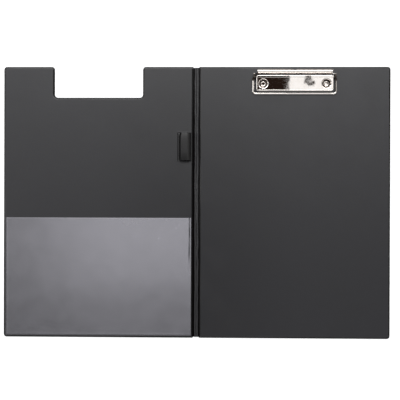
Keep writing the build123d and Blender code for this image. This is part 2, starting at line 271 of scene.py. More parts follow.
def panel_ring(notched, inset, spine_inset, pointed, x_lines, y_lines):
    """One closed line of points round a panel, inset from its edges. Rounded corners are quarter
    arcs of 8 steps, drawn on one point where pointed; the straight runs take the grid's lines."""
    corners = panel_corners(notched)
    turn = np.radians(np.linspace(0, 90, 9))
    start = {(1, 1): 180, (-1, 1): 270, (-1, -1): 0, (1, -1): 90}
    arcs, sharp = [], []
    for x, y, sx, sy, radius, inner in corners:
        at_spine = abs(x - PANEL_NEAR) < SAME_PLACE
        tip = np.array([x + sx * (spine_inset if at_spine else inset), y + sy * inset])
        fixed_inset = CAP_SPINE_INSET if at_spine else CAP_INSET
        sharp.append(np.array([x + sx * fixed_inset, y + sy * CAP_INSET]))
        if inner:
            bend = 0.0 if pointed else radius + inset
            centre = tip - bend * np.array([sx, sy])
            angle = np.radians(start[(sx, sy)] - 90) - turn
        else:
            bend = 0.0 if pointed else max(radius - inset, LEAST_RADIUS)
            centre = tip + bend * np.array([sx, sy])
            angle = np.radians(start[(sx, sy)]) + turn
        arcs.append(centre + bend * np.stack([np.cos(angle), np.sin(angle)], -1))
    ring = []
    for k, arc in enumerate(arcs):
        ring.append(arc)
        here, there = sharp[k], sharp[(k + 1) % len(arcs)]
        axis = 0 if abs(here[1] - there[1]) < SAME_PLACE else 1
        lines = (x_lines, y_lines)[axis]
        low, high = sorted((here[axis], there[axis]))
        lines = lines[(lines > low + SAME_PLACE) & (lines < high - SAME_PLACE)]
        if there[axis] < here[axis]:
            lines = lines[::-1]
        run = np.empty((len(lines), 2))
        run[:, axis] = lines
        run[:, 1 - axis] = arc[-1, 1 - axis]
        ring.append(run)
    return np.concatenate(ring)


def panel_cap(notched, z, x_lines, y_lines, hole):
    """The flat field of a panel at height z as points and faces. The notch's cells are left out,
    and a cell round each rivet is a fan from its corners to a round hole."""
    x, y = np.meshgrid(x_lines, y_lines)
    points = np.stack([x.ravel(), y.ravel(), np.full(x.size, z)], -1)
    faces = quads(len(y_lines), len(x_lines))
    middle = points[faces].mean(1)
    if notched:
        in_line = abs(middle[:, 0] - CLIP_X) < NOTCH_HALF + CAP_INSET
        in_notch = in_line & (middle[:, 1] > NOTCH_FLOOR - CAP_INSET)
        return points, [faces[~in_notch]], []
    blocks, rims = [], []
    near_rivet = np.zeros(len(faces), bool)
    angle = np.radians(np.arange(HOLE_SIDES) * 360 / HOLE_SIDES)
    quarter = HOLE_SIDES // 4
    for rivet_x in RIVET_X:
        here = (abs(middle[:, 0] - rivet_x) < 1) & (abs(middle[:, 1] - RIVET_Y) < 1)
        near_rivet |= here
        low_left, low_right, high_right, high_left = faces[here][0]
        corners = np.array([high_right, high_left, low_left, low_right])
        x_rim, y_rim = rivet_x + hole * np.cos(angle), RIVET_Y + hole * np.sin(angle)
        rim = len(points) + np.arange(HOLE_SIDES)
        points = np.concatenate([points, np.stack([x_rim, y_rim, np.full(HOLE_SIDES, z)], -1)])
        blocks.append(np.stack([np.repeat(corners, quarter), np.roll(rim, -1), rim], -1))
        blocks.append(np.stack([rim[::quarter], np.roll(corners, 1), corners], -1))
        rims.append(rim)
    return points, [faces[~near_rivet], *blocks], rims


def panel_sheet(name, side, notched, profile, hole, material, relief=0.0):
    """A closed sheet of a panel. The profile is rows of inset from the free edges, inset at the
    spine and height; it runs from one flat field round the edge to the other, and is carried
    round the outline. The upper field gets a faint relief of sine waves. The left panel is the
    mirror image of one drawn on the right."""
    x_lines, y_lines = panel_lines(notched)
    rings = []
    for inset, spine_inset, z in profile:
        pointed = inset > CAP_INSET - SAME_PLACE
        ring = panel_ring(notched, inset, spine_inset, pointed, x_lines, y_lines)
        rings.append(np.column_stack([ring, np.full(len(ring), z)]))
    count = len(rings[0])
    points = np.concatenate(rings)
    faces = [quads(len(rings), count, loop=True)]
    rims = []
    for z in (profile[0][2], profile[-1][2]):
        cap_points, cap_faces, cap_rims = panel_cap(notched, z, x_lines, y_lines, hole)
        faces += [block + len(points) for block in cap_faces]
        rims.append([rim + len(points) for rim in cap_rims])
        points = np.concatenate([points, cap_points])
    for first, second in zip(*rims):
        faces.append(np.stack([first, np.roll(first, -1), np.roll(second, -1), second], -1))
    if relief:
        field = smooth((points[:, 2] - PANEL_TOP + 0.05) / 0.04)
        swell = np.clip(waves(points[:, 0], points[:, 1], 11 + side, 35, 140), -RELIEF_LIMIT, RELIEF_LIMIT)
        points[:, 2] += relief * field * (swell - RELIEF_LIMIT)
    points[:, 0] *= side
    # Pressed marks the low rim round the panel: a real weld, which the vinyl also paints near black as
    # painted shade.
    weld_and_shade_share = [1 - smooth((row[0] - WELD_WIDTH) / WELD_FADE) for row in profile]
    pressed = np.zeros(len(points))
    pressed[: count * len(rings)] = np.repeat(weld_and_shade_share, count)
    return add_piece(name, points, faces, material, pressed=pressed)


# Materials


def add_node(tree, kind, inputs=None, **settings):
    """Adds a node of that kind with its settings. Inputs are given by the socket's name or number,
    each as a value or as the output socket of another node."""
    made = tree.nodes.new(kind)
    for key, value in settings.items():
        setattr(made, key, value)
    for key, value in (inputs or {}).items():
        if isinstance(value, bpy.types.NodeSocket):
            tree.links.new(value, made.inputs[key])
        else:
            made.inputs[key].default_value = value
    return made


def empty_tree(owner):
    """The node tree of a material or a world, emptied."""
    owner.use_nodes = True
    owner.node_tree.nodes.clear()
    return owner.node_tree


def new_material(name):
    """A new material, its tree and the shader that its surface shows."""
    material = bpy.data.materials.new(name)
    tree = empty_tree(material)
    shader = add_node(tree, "ShaderNodeBsdfPrincipled")
    add_node(tree, "ShaderNodeOutputMaterial", {"Surface": shader.outputs[0]})
    return material, tree, shader


def calendered_vinyl(name, dark, pale, roughness, grain, pebble, depth):
    """Plasticised PVC sheet, calendered and embossed. Carbon black takes nearly all the light, so
    the grey that the eye sees is mostly sheen, spread wide by the embossed grain, with a faint
    cloudiness where the sheet lies more or less tight on the board. It is painted blacker by the
    spine, as painted shade where the sheets bend into the fold. A weld is pressed smooth and
    shows as a glossier line; its blacker colour is painted shade, which also darkens the panels'
    low rims, the spine's grooves and the pen loop's fold. The real grain is near 0.5 mm; the sizes
    given, in millimetres, are coarser, so that it shows."""
    material, tree, shader = new_material(name)
    place = add_node(tree, "ShaderNodeTexCoord").outputs["Object"]
    cloud = add_node(tree, "ShaderNodeTexNoise", {"Vector": place, "Scale": 1 / (38 * MM), "Detail": 3.0})
    fine = add_node(tree, "ShaderNodeTexNoise", {"Vector": place, "Scale": 1 / (grain * MM), "Detail": 4.0})
    cells = add_node(
        tree, "ShaderNodeTexVoronoi", {"Vector": place, "Scale": 1 / (pebble * MM)}, feature="SMOOTH_F1"
    )
    mottle = add_node(
        tree, "ShaderNodeMath", {0: fine.outputs[0], 1: 0.35, 2: cloud.outputs[0]}, operation="MULTIPLY_ADD"
    )
    share = add_node(
        tree, "ShaderNodeMapRange", {"Value": mottle.outputs[0], "From Min": 0.4, "From Max": 0.95}
    )
    parts = add_node(tree, "ShaderNodeSeparateXYZ", {0: place})
    from_spine = add_node(tree, "ShaderNodeMath", {0: parts.outputs["X"]}, operation="ABSOLUTE")
    # Painted shade: the sheet is made darker within 0.14 m of the spine.
    spine_shade = add_node(
        tree,
        "ShaderNodeMapRange",
        {"Value": from_spine.outputs[0], "From Min": 0.0, "From Max": 0.14, "To Min": -0.6, "To Max": 0.2},
        interpolation_type="SMOOTHSTEP",
    )
    paleness = add_node(
        tree, "ShaderNodeMath", {0: share.outputs[0], 1: spine_shade.outputs[0]}, operation="ADD", use_clamp=True
    )
    weld = add_node(tree, "ShaderNodeAttribute", attribute_name="pressed").outputs["Fac"]
    tint = add_node(
        tree, "ShaderNodeMix", {0: paleness.outputs[0], 6: linear(dark), 7: linear(pale)}, data_type="RGBA"
    )
    # The weld colour, near black, is painted shade in the rims, grooves and fold; the weld's real part is
    # its gloss.
    shown = add_node(
        tree, "ShaderNodeMix", {0: weld, 6: tint.outputs[2], 7: linear("#070708")}, data_type="RGBA"
    )
    rough = add_node(
        tree,
        "ShaderNodeMapRange",
        {
            "Value": mottle.outputs[0],
            "From Min": 0.4,
            "From Max": 0.95,
            "To Min": roughness + 0.04,
            "To Max": roughness - 0.04,
        },
    )
    finish = add_node(tree, "ShaderNodeMix", {0: weld, 2: rough.outputs[0], 3: 0.12})
    height = add_node(
        tree, "ShaderNodeMath", {0: cells.outputs["Distance"], 1: fine.outputs[0]}, operation="ADD"
    )
    strength = add_node(tree, "ShaderNodeMapRange", {"Value": weld, "To Min": 0.6, "To Max": 0.1})
    bump = add_node(
        tree,
        "ShaderNodeBump",
        {"Height": height.outputs[0], "Strength": strength.outputs[0], "Distance": depth * MM},
    )
    tree.links.new(shown.outputs[2], shader.inputs["Base Color"])
    tree.links.new(finish.outputs[0], shader.inputs["Roughness"])
    tree.links.new(bump.outputs[0], shader.inputs["Normal"])
    shader.inputs["IOR"].default_value = 1.53
    return material


def clear_vinyl(name):
    """Clear plasticised PVC film, press-polished. It is faintly milky, as its plasticiser and age
    make it, so it veils the black under it in a cool grey. Painted light makes the veil thicker
    towards the top and towards the spine, least in its lower corner away from the spine. It is
    also milkier beyond a sloping line in its upper right. Where it is welded or creased on to the
    board no air is left under it, and it shows black. It is glossy; painted highlights make it
    paler along its free top edge and along the low rim by its welds."""
    material, tree, shader = new_material(name)
    place = add_node(tree, "ShaderNodeTexCoord").outputs["Object"]
    cloud = add_node(tree, "ShaderNodeTexNoise", {"Vector": place, "Scale": 1 / (17 * MM), "Detail": 4.0})
    speck = add_node(tree, "ShaderNodeTexNoise", {"Vector": place, "Scale": 1 / (5 * MM), "Detail": 3.0})
    parts = add_node(tree, "ShaderNodeSeparateXYZ", {0: place})
    veil = add_node(
        tree,
        "ShaderNodeMapRange",
        {"Value": cloud.outputs[0], "From Min": 0.3, "From Max": 0.7, "To Min": 0.075, "To Max": 0.101},
    )
    # Painted light: the film is made milkier towards its top.
    upward = add_node(
        tree,
        "ShaderNodeMapRange",
        {"Value": parts.outputs["Y"], "From Min": -0.165, "From Max": -0.02},
        interpolation_type="SMOOTHSTEP",
    )
    # Painted light: the film is made milkier towards the spine.
    inward = add_node(
        tree,
        "ShaderNodeMapRange",
        {"Value": parts.outputs["X"], "From Min": -0.24, "From Max": -0.08, "To Max": 0.082},
        interpolation_type="SMOOTHSTEP",
    )
    # Painted highlight: the film is made milkier along its free top edge.
    edge = add_node(
        tree,
        "ShaderNodeMapRange",
        {
            "Value": parts.outputs["Y"],
            "From Min": (POCKET_TOP - 1.6) * MM,
            "From Max": (POCKET_TOP - 0.4) * MM,
            "To Max": 0.07,
        },
        interpolation_type="SMOOTHSTEP",
    )
    slope = add_node(
        tree,
        "ShaderNodeMath",
        {0: parts.outputs["X"], 1: -0.08, 2: parts.outputs["Y"]},
        operation="MULTIPLY_ADD",
    )
    # The film is made milkier beyond a sloping line in its upper right, more so towards the spine.
    upper_right_zone = add_node(
        tree,
        "ShaderNodeMapRange",
        {"Value": slope.outputs[0], "From Min": -0.108, "From Max": -0.078, "To Max": 0.5},
        interpolation_type="SMOOTHSTEP",
    )
    corner = add_node(tree, "ShaderNodeMath", {0: inward.outputs[0], 1: 0.06}, operation="ADD")
    # The painted light towards the spine, plus the painted highlight along the top edge.
    spread = add_node(
        tree,
        "ShaderNodeMath",
        {0: inward.outputs[0], 1: 0.5, 2: edge.outputs[0]},
        operation="MULTIPLY_ADD",
    )
    # Random haze plus the painted light towards the top.
    haze_and_painted_light = add_node(
        tree,
        "ShaderNodeMath",
        {0: upward.outputs[0], 1: corner.outputs[0], 2: veil.outputs[0]},
        operation="MULTIPLY_ADD",
    )
    air = add_node(tree, "ShaderNodeMath", {0: upper_right_zone.outputs[0], 1: inward.outputs[0]}, operation="MULTIPLY")
    base = add_node(tree, "ShaderNodeMath", {0: haze_and_painted_light.outputs[0], 1: spread.outputs[0]}, operation="ADD")
    milk = add_node(tree, "ShaderNodeMath", {0: base.outputs[0], 1: air.outputs[0]}, operation="ADD")
    weld = add_node(tree, "ShaderNodeAttribute", attribute_name="pressed").outputs["Fac"]
    # Where pressed is below 0, on the rim by the welds, the film is made milkier: a painted highlight.
    clear = add_node(tree, "ShaderNodeMapRange", {"Value": weld, "To Min": 1.0, "To Max": 0.06}, clamp=False)
    shown = add_node(
        tree, "ShaderNodeMath", {0: milk.outputs[0], 1: clear.outputs[0]}, operation="MULTIPLY"
    )
    rough = add_node(
        tree,
        "ShaderNodeMapRange",
        {"Value": speck.outputs[0], "From Min": 0.3, "From Max": 0.7, "To Min": 0.28, "To Max": 0.36},
    )
    bump = add_node(
        tree, "ShaderNodeBump", {"Height": speck.outputs[0], "Strength": 0.3, "Distance": 0.02 * MM}
    )
    shader.inputs["Base Color"].default_value = linear("#dad8e0")
    tree.links.new(shown.outputs[0], shader.inputs["Alpha"])
    tree.links.new(rough.outputs[0], shader.inputs["Roughness"])
    tree.links.new(bump.outputs[0], shader.inputs["Normal"])
    shader.inputs["IOR"].default_value = 1.54
    return material


def round_zone(tree, place, centre, apart, across, radius):
    """1 within a radius of a place and 0 beyond it. There are two such places, apart from a centre
    to both sides. Across keeps the axes that the distance counts. Places are in metres."""
    soft = 0.0002
    off = add_node(tree, "ShaderNodeVectorMath", {0: place, 1: centre}, operation="SUBTRACT")
    one_side = add_node(tree, "ShaderNodeVectorMath", {0: off.outputs[0]}, operation="ABSOLUTE")
    from_axis = add_node(
        tree, "ShaderNodeVectorMath", {0: one_side.outputs[0], 1: apart}, operation="SUBTRACT"
    )
    flat = add_node(
        tree, "ShaderNodeVectorMath", {0: from_axis.outputs[0], 1: across}, operation="MULTIPLY"
    )
    reach = add_node(tree, "ShaderNodeVectorMath", {0: flat.outputs[0]}, operation="LENGTH")
    return add_node(
        tree,
        "ShaderNodeMapRange",
        {"Value": reach.outputs["Value"], "From Min": radius + soft, "From Max": radius - soft},
    ).outputs[0]


def bright_nickel(name, centre=(0, 0, 0), apart=(0, 0, 0), across=(1, 1, 0), radius=0.0):
    """Mild steel sheet, stamped and plated with bright nickel. The plating is a slightly warm
    mirror. The stamping leaves it a little wavy over 5 to 20 mm, which bends what it reflects,
    and handling leaves hairlines and a haze along the edges. In the round zone it is dull, and
    its colour is darkened as painted shade: at the bottom of a cup, and round the pin in the eyes."""
    material, tree, shader = new_material(name)
    place = add_node(tree, "ShaderNodeTexCoord").outputs["Object"]
    stretched = add_node(tree, "ShaderNodeMapping", {"Vector": place, "Scale": (0.12, 1.0, 1.0)})
    wave = add_node(tree, "ShaderNodeTexNoise", {"Vector": place, "Scale": 1 / (14 * MM), "Detail": 1.0})
    hair = add_node(
        tree, "ShaderNodeTexNoise", {"Vector": stretched.outputs[0], "Scale": 1 / (0.7 * MM), "Detail": 3.0}
    )
    haze = add_node(tree, "ShaderNodeTexNoise", {"Vector": place, "Scale": 1 / (6 * MM), "Detail": 3.0})
    tint = add_node(
        tree,
        "ShaderNodeMix",
        {0: haze.outputs[0], 6: linear("#e9e2dc"), 7: linear("#f6f2ef")},
        data_type="RGBA",
    )
    mixed = add_node(tree, "ShaderNodeMath", {0: hair.outputs[0], 1: haze.outputs[0]}, operation="MULTIPLY")
    rough = add_node(
        tree,
        "ShaderNodeMapRange",
        {"Value": mixed.outputs[0], "From Min": 0.1, "From Max": 0.45, "To Min": 0.015, "To Max": 0.05},
    )
    swell = add_node(
        tree, "ShaderNodeBump", {"Height": wave.outputs[0], "Strength": 1.0, "Distance": 0.04 * MM}
    )
    bump = add_node(
        tree,
        "ShaderNodeBump",
        {"Height": hair.outputs[0], "Strength": 0.1, "Distance": 0.01 * MM, "Normal": swell.outputs[0]},
    )
    shader.inputs["Metallic"].default_value = 1.0
    colour, finish = tint.outputs[2], rough.outputs[0]
    if radius:
        zone = round_zone(tree, place, centre, apart, across, radius)
        # Painted shade: the round zone is given a dark brown colour.
        colour = add_node(
            tree, "ShaderNodeMix", {0: zone, 6: colour, 7: linear("#3a332e")}, data_type="RGBA"
        ).outputs[2]
        finish = add_node(tree, "ShaderNodeMix", {0: zone, 2: finish, 3: 0.4}).outputs[0]
    tree.links.new(colour, shader.inputs["Base Color"])
    tree.links.new(finish, shader.inputs["Roughness"])
    tree.links.new(bump.outputs[0], shader.inputs["Normal"])
    return material


def drawn_steel(name, dark="#8d8a86", pale="#b9b6b1"):
    """Drawn spring wire and turned pin, oiled and left bare: grey steel with fine lines from the
    drawing die and a few darker stains."""
    material, tree, shader = new_material(name)
    place = add_node(tree, "ShaderNodeTexCoord").outputs["Object"]
    along = add_node(tree, "ShaderNodeMapping", {"Vector": place, "Scale": (0.1, 1.0, 1.0)})
    lines = add_node(
        tree, "ShaderNodeTexNoise", {"Vector": along.outputs[0], "Scale": 1 / (0.3 * MM), "Detail": 2.0}
    )
    stain = add_node(tree, "ShaderNodeTexNoise", {"Vector": place, "Scale": 1 / (4 * MM), "Detail": 4.0})
    tint = add_node(
        tree,
        "ShaderNodeMix",
        {0: stain.outputs[0], 6: linear(dark), 7: linear(pale)},
        data_type="RGBA",
    )
    rough = add_node(tree, "ShaderNodeMapRange", {"Value": lines.outputs[0], "To Min": 0.22, "To Max": 0.42})
    bump = add_node(
        tree, "ShaderNodeBump", {"Height": lines.outputs[0], "Strength": 0.3, "Distance": 0.01 * MM}
    )
    shader.inputs["Metallic"].default_value = 1.0
    tree.links.new(tint.outputs[2], shader.inputs["Base Color"])
    tree.links.new(rough.outputs[0], shader.inputs["Roughness"])
    tree.links.new(bump.outputs[0], shader.inputs["Normal"])
    return material


def pressed_greyboard(name):
    """Greyboard, pressed from recycled paper: a dull warm grey with pale and dark fibres about
    2 mm long and a felt-marked surface."""
    material, tree, shader = new_material(name)
    place = add_node(tree, "ShaderNodeTexCoord").outputs["Object"]
    along = add_node(tree, "ShaderNodeMapping", {"Vector": place, "Scale": (0.3, 1.0, 1.0)})
    fibre = add_node(
        tree, "ShaderNodeTexNoise", {"Vector": along.outputs[0], "Scale": 1 / (0.8 * MM), "Detail": 5.0}
    )
    felt = add_node(tree, "ShaderNodeTexNoise", {"Vector": place, "Scale": 1 / (9 * MM), "Detail": 3.0})
    share = add_node(tree, "ShaderNodeMath", {0: fibre.outputs[0], 1: felt.outputs[0]}, operation="MULTIPLY")
    tint = add_node(
        tree,
        "ShaderNodeMix",
        {0: share.outputs[0], 6: linear("#6f6b64"), 7: linear("#b3aea4")},
        data_type="RGBA",
    )
    bump = add_node(
        tree, "ShaderNodeBump", {"Height": fibre.outputs[0], "Strength": 0.5, "Distance": 0.05 * MM}
    )
    shader.inputs["Roughness"].default_value = 0.92
    shader.inputs["Specular IOR Level"].default_value = 0.25
    tree.links.new(tint.outputs[2], shader.inputs["Base Color"])
    tree.links.new(bump.outputs[0], shader.inputs["Normal"])
    return material


inner_vinyl = calendered_vinyl("pvc_calendered_fine_grain", "#1f1f22", "#2a2a2d", 0.45, 1.4, 2.2, 0.05)
outer_vinyl = calendered_vinyl("pvc_embossed_leather_grain", "#161617", "#232325", 0.46, 1.4, 3.0, 0.16)
# The strip is the same vinyl in darker colours: painted shade, as its top slopes away from the light.
loop_vinyl_painted_shade = calendered_vinyl("pvc_strip_painted_shade", "#0f0f10", "#18181a", 0.4, 1.2, 2.0, 0.05)
pocket_vinyl = clear_vinyl("pvc_clear_press_polished")
rivet_nickel = bright_nickel("steel_bright_nickel_plated")
# The cups' floors get painted shade.
plate_nickel_shaded_cups = bright_nickel(
    "steel_bright_nickel_with_painted_shade_in_cups",
    (CLIP_X * MM, RIVET_Y * MM, 0),
    ((RIVET_X[1] - CLIP_X) * MM, 0, 0),
    (1, 1, 0),
    CUP_FLOOR * MM,
)
# The pin's eyes get painted shade.
jaw_nickel_shaded_eyes = bright_nickel(
    "steel_bright_nickel_with_painted_shade_round_eyes",
    (CLIP_X * MM, PIN_Y * MM, PIN_Z * MM),
    (EYE_APART * MM, 0, 0),
    (1, 1, 1),
    EYE_RADIUS * MM,
)
steel = drawn_steel("spring_steel_drawn")
pin_steel = drawn_steel("pin_steel_turned_and_greased", "#2b2927", "#4a4744")
greyboard = pressed_greyboard("greyboard_pressed")


# Panels

# Inset from the free edges, inset at the spine, and height
INNER_PROFILE = (
    (CAP_INSET, CAP_SPINE_INSET, PANEL_TOP),
    (2.3, 2.25, PANEL_TOP),
    (2.05, 2.0, 2.385),
    (1.88, 1.8, 2.33),
    (1.76, 1.66, 2.22),
    (1.69, 1.57, 2.05),
    (1.65, 1.45, 1.55),
    (1.61, 1.35, 1.0),
    (1.55, 1.25, 0.78),
    (1.45, 1.1, 0.66),
    (1.3, 0.9, 0.61),
    (1.1, 0.0, 0.6),
    (0.4, -0.05, 0.6),
    (0.15, -0.08, 0.57),
    (0.03, -0.1, 0.5),
    (0.0, -0.1, 0.4),
    (0.0, -0.1, SKIN),
    (1.9, 2.1, SKIN),
    (1.9, 2.1, PANEL_TOP - SKIN),
    (CAP_INSET, CAP_SPINE_INSET, PANEL_TOP - SKIN),
)
OUTER_PROFILE = (
    (CAP_INSET, CAP_SPINE_INSET, SKIN),
    (0.0, -0.1, SKIN),
    (0.03, -0.1, 0.17),
    (0.15, -0.05, 0.1),
    (0.4, 0.1, 0.08),
    (1.4, 0.28, 0.08),
    (1.6, 0.35, 0.06),
    (1.8, 0.45, 0.02),
    (2.1, 0.6, 0.0),
    (CAP_INSET, CAP_SPINE_INSET, 0.0),
)

for panel, body, side, notched in (("back", "back_panel", 1, False), ("cover", "front_cover", -1, True)):
    for layer, profile, hole, material, relief in (
        ("inner", INNER_PROFILE, INNER_HOLE, inner_vinyl, RELIEF),
        ("outer", OUTER_PROFILE, OUTER_HOLE, outer_vinyl, 0.0),
    ):
        sheet = panel_sheet(f"{panel}_{layer}_sheet", side, notched, profile, hole, material, relief)
        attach(sheet, body)
        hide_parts(f"{panel}_{layer}_skin")


# Spine


def web_half(name, side, inner):
    """Half of the spine's web as a closed shell, from its middle to just inside a panel. The
    inner sheet carries two ridges, arcs across x whose heights and places wander along y; the
    outer sheet is flat with a shallow weld line in the middle."""
    x = side * np.concatenate([np.linspace(0, 2.4, 25), np.linspace(2.5, WEB_END, 15)])
    y = np.linspace(-WEB_HALF_HEIGHT, WEB_HALF_HEIGHT, 161)
    x_grid, y_grid = np.meshgrid(x, y)
    top, low = np.full_like(x_grid, 2 * SKIN), np.full_like(x_grid, SKIN)
    if inner:
        for k, (middle, half, height) in enumerate(RIDGES):
            wander = 0.16 * waves(0 * y_grid, y_grid, 41 + k, 14, 80)
            swell = 1 + 0.2 * waves(0 * y_grid, y_grid, 51 + k, 9, 50)
            across = np.clip((x_grid - middle - wander) / half, -1, 1)
            top += height * swell * (1 - across**2)
        top -= 0.06 * smooth((abs(x_grid) - 3.3) / 0.25)
        # Pressed is 1 on the web's low floor beside and between the ridges; the vinyl paints it near black,
        # as painted shade in the grooves.
        pressed = 1 - smooth((top - 2 * SKIN - 0.02) / 0.25)
    else:
        top -= SKIN
        low = 0.05 * np.exp(-((x_grid / 0.5) ** 2)) + 0.05 * smooth((abs(x_grid) - 3.35) / 0.2)
        pressed = np.clip(low / 0.05, 0, 1)
    points, faces = shell(np.stack([x_grid, y_grid, top], -1), np.stack([x_grid, y_grid, low], -1))
    material = inner_vinyl if inner else outer_vinyl
    return add_piece(name, points, faces, material, pressed=np.tile(pressed.ravel(), 2))


for side, body, end in ((1, "back_panel", "right"), (-1, "front_cover", "left")):
    for inner, layer in ((True, "inner"), (False, "outer")):
        web = web_half(f"spine_{layer}_web_{end}", side, inner)
        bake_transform(web)
        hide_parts(f"spine_{layer}_web")


# Clear pocket


def pocket_film():
    """The clear film as a closed shell over a grid. It is pressed down along the three welded
    sides, lies in long shallow waves between them, rises a little along its free top edge, and
    has one crease beside the spine: a pressed line along y between two low ridges, which fade out
    downwards. A ridge is a bell curve of the distance from its middle line, and the pressed line
    is one with a flat top. Pressed is below 0 on the low rim by the welds away from the spine,
    where the film is lifted a little: there it makes the film milkier, a painted highlight."""
    by_weld = np.array([0.4, 0.9, 1.3, 1.7, 2.1, 2.5])
    x_field, x_crease = np.linspace(POCKET_LEFT, -13, 90), np.linspace(-12.7, POCKET_RIGHT, 41)
    y_field = np.linspace(POCKET_LOW, POCKET_TOP - 4, 60)
    y_top = np.linspace(POCKET_TOP - 3.6, POCKET_TOP, 12)
    x = np.unique(np.concatenate([x_field, x_crease, POCKET_LEFT + by_weld]))
    y = np.unique(np.concatenate([y_field, y_top, POCKET_LOW + by_weld]))
    x_grid, y_grid = np.meshgrid(x, y)
    from_sides = np.minimum(x_grid - POCKET_LEFT, POCKET_RIGHT - x_grid + 1.0)
    from_weld = np.minimum(from_sides, y_grid - POCKET_LOW)
    from_top = POCKET_TOP - y_grid
    welded = 1 - smooth((from_weld - POCKET_WELD) / 0.6)
    rim = np.exp(-(((from_weld - POCKET_RIM) / POCKET_RIM_HALF) ** 2))
    free = smooth(from_weld / 22)
    lift = 0.12 * free * (2.6 + np.clip(waves(x_grid, y_grid, 7, 45, 150), -1.4, 2))
    lift += 0.3 * free * np.exp(-((from_top / 7) ** 2))
    lift += 0.1 * rim
    uneven = np.clip(0.95 + 0.15 * waves(0 * y_grid, y_grid, 23, 9, 40), 0.6, 1.05)
    along = smooth((y_grid + 82) / 22) * uneven
    shift = 0.15 * waves(0 * y_grid, y_grid, 29, 20, 60)
    for middle, half, height in CREASE_RIDGES:
        lift += height * along * np.exp(-(((x_grid - middle + shift) / half) ** 2))
    crease = along * np.exp(-(((x_grid - CREASE_X + shift) / CREASE_HALF) ** 6))
    top = PANEL_TOP + POCKET_FILM + lift * (1 - welded) * (1 - crease) - 0.12 * np.maximum(welded, crease)
    low = np.maximum(top - POCKET_FILM, PANEL_TOP + 0.03)
    # Painted highlight: the rim away from the spine gets pressed below 0, which makes the film milkier.
    rim_highlight = rim * (POCKET_RIGHT - x_grid > 9)
    pressed = np.tile((np.clip(0.6 * welded + crease, 0, 1) - 0.3 * rim_highlight).ravel(), 2)
    points, faces = shell(np.stack([x_grid, y_grid, top], -1), np.stack([x_grid, y_grid, low], -1))
    return add_piece("pocket_film", points, faces, pocket_vinyl, sharp_from=60, pressed=pressed)


film = pocket_film()
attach(film, "front_cover")
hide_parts("pocket_sheet")


# Pen loop


def loop_path():
    """The strip's middle line across x and z, as points and their normals: along the board from
    the weld, round the fold, over the top and down in an arc to the weld again."""
    half = LOOP_WALL / 2
    low = PANEL_TOP + half
    radius = LOOP_RISE / 2 - half
    fold_x, fold_z = LOOP_FAR + LOOP_RISE / 2, PANEL_TOP + LOOP_RISE / 2
    drop = LOOP_DROP - half
    flat = np.stack([np.linspace(LOOP_NEAR, fold_x, 12), np.full(12, low)], -1)
    turn = np.radians(np.linspace(270, 90, 41)[1:])
    fold = np.stack([fold_x + radius * np.cos(turn), fold_z + radius * np.sin(turn)], -1)
    over = np.stack([np.linspace(fold_x, LOOP_FLAT, 6)[1:], np.full(5, low + 2 * radius)], -1)
    fall = np.radians(np.linspace(90, 14, 13)[1:])
    down = np.stack([LOOP_FLAT + drop * np.cos(fall), low + 2 * radius - drop + drop * np.sin(fall)], -1)
    path = np.concatenate([flat, fold, over, down])
    flattened = 1 - smooth((path[:, 0] - LOOP_FAR - 1.7) / 1.2)
    upward = (path[:, 1] - low) / (2 * radius)
    path[:, 1] += flattened * (low + LOOP_FOLD_RISE * smooth((upward - 0.3) / 0.4) - path[:, 1])
    heading = np.gradient(path, axis=0)
    heading /= np.linalg.norm(heading, axis=1)[:, None]
    return path, np.stack([heading[:, 1], -heading[:, 0]], -1)


def pen_loop_strip():
    """The strip carried along y as a closed shell: the path set off by half a wall to each side.
    Its top sags a little towards both cut ends, and its fold is drawn in at the upper one."""
    path, normal = loop_path()
    t = np.linspace(-1, 1, 33)
    middle = np.repeat(path[None], len(t), 0)
    height = (middle[..., 1] - PANEL_TOP) / LOOP_RISE
    sag = np.where(t > 0, *LOOP_SAG)
    middle[..., 1] -= sag[:, None] * smooth(height) * (np.abs(t)[:, None] ** 4)
    pull = 1.4 * smooth((t - 0.7) / 0.3) + 0.1 * smooth((-0.8 - t) / 0.2)
    middle[..., 0] += pull[:, None] * smooth((LOOP_FAR + 6 - middle[..., 0]) / 5)
    y = LOOP_MIDDLE + LOOP_HALF * t[:, None] + 0 * middle[..., 0]
    walls = [middle + end * normal * LOOP_WALL / 2 for end in (1, -1)]
    points, faces = shell(*(np.stack([wall[..., 0], y, wall[..., 1]], -1) for wall in walls))
    # Pressed is 1 along the flattened edge of the fold; the vinyl paints it near black, as painted shade
    # beside the fold.
    crease = 1 - smooth((path[:, 0] - LOOP_FAR - 1.6) / 0.6)
    return points, faces, np.tile(np.repeat(crease[None], len(t), 0).ravel(), 2)


def weld_patch():
    """The pad that the strip is welded down with, as a closed shell: a low plate over a grid whose
    height falls off smoothly at its border, with a pressed line inside it."""
    by_edge = np.linspace(0, 2.4, 13)
    x = np.unique(np.concatenate([np.linspace(PATCH_FAR, LOOP_NEAR, 36), PATCH_FAR + by_edge]))
    y_end = PATCH_HALF - by_edge
    y = np.unique(np.concatenate([np.linspace(-PATCH_HALF, PATCH_HALF, 30), y_end, -y_end])) + LOOP_MIDDLE
    x_grid, y_grid = np.meshgrid(x, y)
    inset = np.minimum(x_grid - PATCH_FAR, PATCH_HALF - abs(y_grid - LOOP_MIDDLE))
    line = np.exp(-(((inset - 1.3) / 0.5) ** 2))
    top = PANEL_TOP + 0.02 + 0.1 * smooth(inset / 0.8) - 0.09 * line
    low = np.full_like(top, PANEL_TOP - 0.09)
    points, faces = shell(np.stack([x_grid, y_grid, top], -1), np.stack([x_grid, y_grid, low], -1))
    return points, faces, np.tile(line.ravel(), 2)


points, faces, crease = pen_loop_strip()
pen_loop = add_piece("pen_loop_strip", points, faces, loop_vinyl_painted_shade, pressed=crease)
points, faces, line = weld_patch()
patch = add_piece("pen_loop_patch", points, faces, inner_vinyl, pressed=line)
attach(patch, "front_cover")
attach(pen_loop, "front_cover")
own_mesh(pen_loop)
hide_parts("pen_loop")


# Springs


